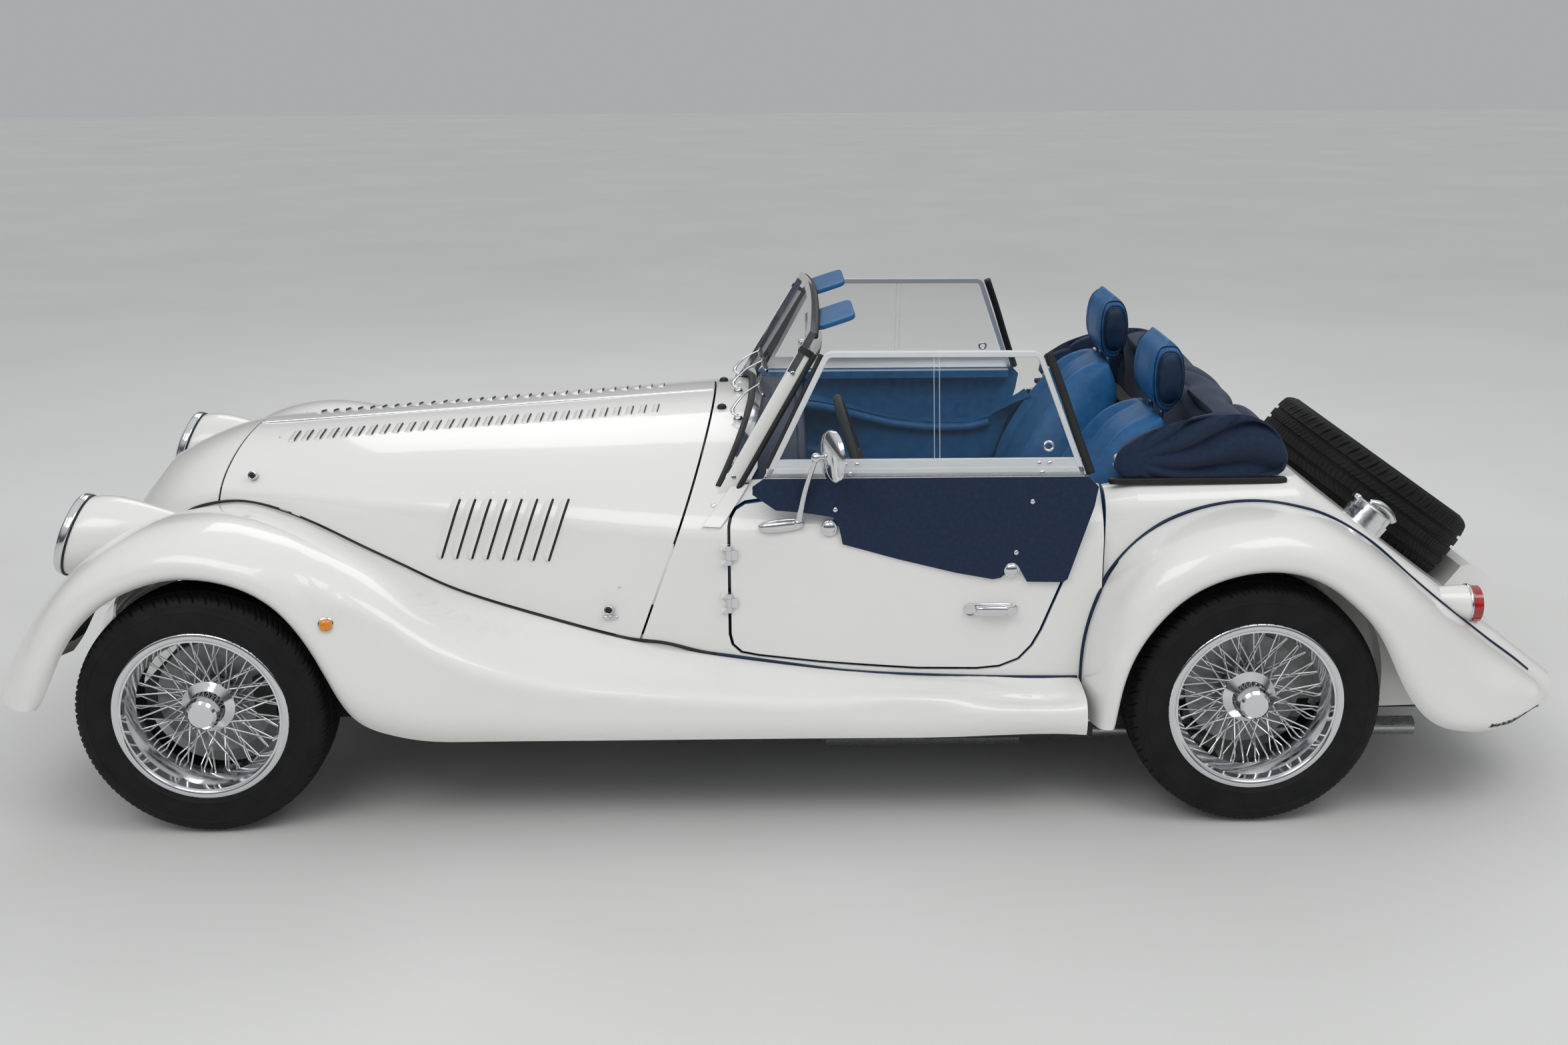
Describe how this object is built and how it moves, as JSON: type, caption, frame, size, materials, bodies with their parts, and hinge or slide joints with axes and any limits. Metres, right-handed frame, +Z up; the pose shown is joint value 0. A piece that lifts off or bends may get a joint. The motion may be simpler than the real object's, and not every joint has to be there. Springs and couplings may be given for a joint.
{
  "type": "roadster convertible",
  "caption": "Two-seat open roadster with a long louvred bonnet, swept wings, wire wheels, side screens, a folded hood and a spare wheel on its tail.",
  "frame": {"origin": "on the ground, at the middle of the car's length and width", "axes": "+X to the rear, +Y to the car's right, +Z up"},
  "size_m": [3.8297, 1.6516, 1.1945],
  "materials": {
    "white_paint": "gloss",
    "chrome": "polished",
    "tyre_rubber": "matte",
    "blue_leather": "satin",
    "navy_cloth": "matte",
    "clear_glass": "polished",
    "silver_metal": "satin",
    "black_metal": "satin",
    "grey_iron": "machined",
    "black_plastic": "matte",
    "red_lens": "gloss",
    "exhaust_steel": "satin"
  },
  "bodies": {
    "chassis": {"front_wing_left": "white_paint", "front_wing_right": "white_paint", "rear_wing_left": "white_paint", "rear_wing_right": "white_paint", "nose_cowl": "white_paint", "grille": "chrome", "front_valance": "white_paint", "headlamp_pods": "white_paint", "headlamp_lenses": "clear_glass", "scuttle": "white_paint", "tail_body": "white_paint", "floor_tub": "black_metal", "chassis_frame": "black_metal", "firewall": "black_metal", "bonnet_hinge": "chrome", "engine_block": "black_metal", "dashboard": "blue_leather", "steering_column": "black_plastic", "seat_left": "blue_leather", "seat_right": "blue_leather", "windscreen_frame": "chrome", "windscreen_glass": "clear_glass", "folded_hood": "navy_cloth", "fuel_filler": "silver_metal", "tail_lamps": "red_lens", "plate_plinth": "white_paint", "exhaust": "exhaust_steel", "spare_tyre": "tyre_rubber", "spare_wheel": "chrome", "front_suspension": "black_metal", "rear_suspension": "black_metal"},
    "bonnet_left": {"bonnet_left": "white_paint"},
    "bonnet_right": {"bonnet_right": "white_paint"},
    "door_left": {"door_left": "white_paint", "side_screen_left": "silver_metal", "side_glass_left": "clear_glass", "door_fittings_left": "chrome"},
    "door_right": {"door_right": "white_paint", "side_screen_right": "silver_metal", "side_glass_right": "clear_glass", "door_fittings_right": "chrome"},
    "knuckle_left": {"front_knuckle_left": "black_metal"},
    "knuckle_right": {"front_knuckle_right": "black_metal"},
    "steering_wheel": {"steering_wheel": "black_plastic"},
    "wheel_front_left": {"tyre_front_left": "tyre_rubber", "wire_wheel_front_left": "chrome", "brake_disc_front_left": "grey_iron"},
    "wheel_front_right": {"tyre_front_right": "tyre_rubber", "wire_wheel_front_right": "chrome", "brake_disc_front_right": "grey_iron"},
    "wheel_rear_left": {"tyre_rear_left": "tyre_rubber", "wire_wheel_rear_left": "chrome", "brake_disc_rear_left": "grey_iron"},
    "wheel_rear_right": {"tyre_rear_right": "tyre_rubber", "wire_wheel_rear_right": "chrome", "brake_disc_rear_right": "grey_iron"}
  },
  "joints": [
    {"name": "bonnet_left_lift", "type": "hinge", "parent": "chassis", "child": "bonnet_left", "pos_m": [-1.43, 0, 0.84], "axis": [-0.9978, 0, -0.0664], "range_deg": [0, 60]},
    {"name": "door_left_swing", "type": "hinge", "parent": "chassis", "child": "door_left", "pos_m": [-0.14975, -0.6573, 0.6], "axis": [0, 0, -1], "range_deg": [0, 65]},
    {"name": "steer_left", "type": "hinge", "parent": "chassis", "child": "knuckle_left", "pos_m": [-1.41, -0.612, 0.304], "axis": [0, 0, 1], "range_deg": [-33, 33]},
    {"name": "wheel_front_left_spin", "type": "hinge", "parent": "knuckle_left", "child": "wheel_front_left", "pos_m": [-1.41, -0.696, 0.304], "axis": [0, 1, 0], "continuous": true},
    {"name": "wheel_rear_left_spin", "type": "hinge", "parent": "chassis", "child": "wheel_rear_left", "pos_m": [1.11, -0.696, 0.304], "axis": [0, 1, 0], "continuous": true},
    {"name": "bonnet_right_lift", "type": "hinge", "parent": "chassis", "child": "bonnet_right", "pos_m": [-1.43, 0, 0.84], "axis": [0.9978, 0, 0.0664], "range_deg": [0, 60]},
    {"name": "door_right_swing", "type": "hinge", "parent": "chassis", "child": "door_right", "pos_m": [-0.14975, 0.6573, 0.6], "axis": [0, 0, 1], "range_deg": [0, 65]},
    {"name": "steer_right", "type": "hinge", "parent": "chassis", "child": "knuckle_right", "pos_m": [-1.41, 0.612, 0.304], "axis": [0, 0, 1], "range_deg": [-33, 33]},
    {"name": "wheel_front_right_spin", "type": "hinge", "parent": "knuckle_right", "child": "wheel_front_right", "pos_m": [-1.41, 0.696, 0.304], "axis": [0, 1, 0], "continuous": true},
    {"name": "wheel_rear_right_spin", "type": "hinge", "parent": "chassis", "child": "wheel_rear_right", "pos_m": [1.11, 0.696, 0.304], "axis": [0, 1, 0], "continuous": true},
    {"name": "steering_wheel_turn", "type": "hinge", "parent": "chassis", "child": "steering_wheel", "pos_m": [0.181, -0.345, 0.797], "axis": [0.9455, 0, 0.3256], "range_deg": [-430, 430]}
  ],
  "couplings": [
    {"joint": "steer_right", "follows": "steer_left", "ratio": 1},
    {"joint": "steering_wheel_turn", "follows": "steer_left", "ratio": 13}
  ]
}
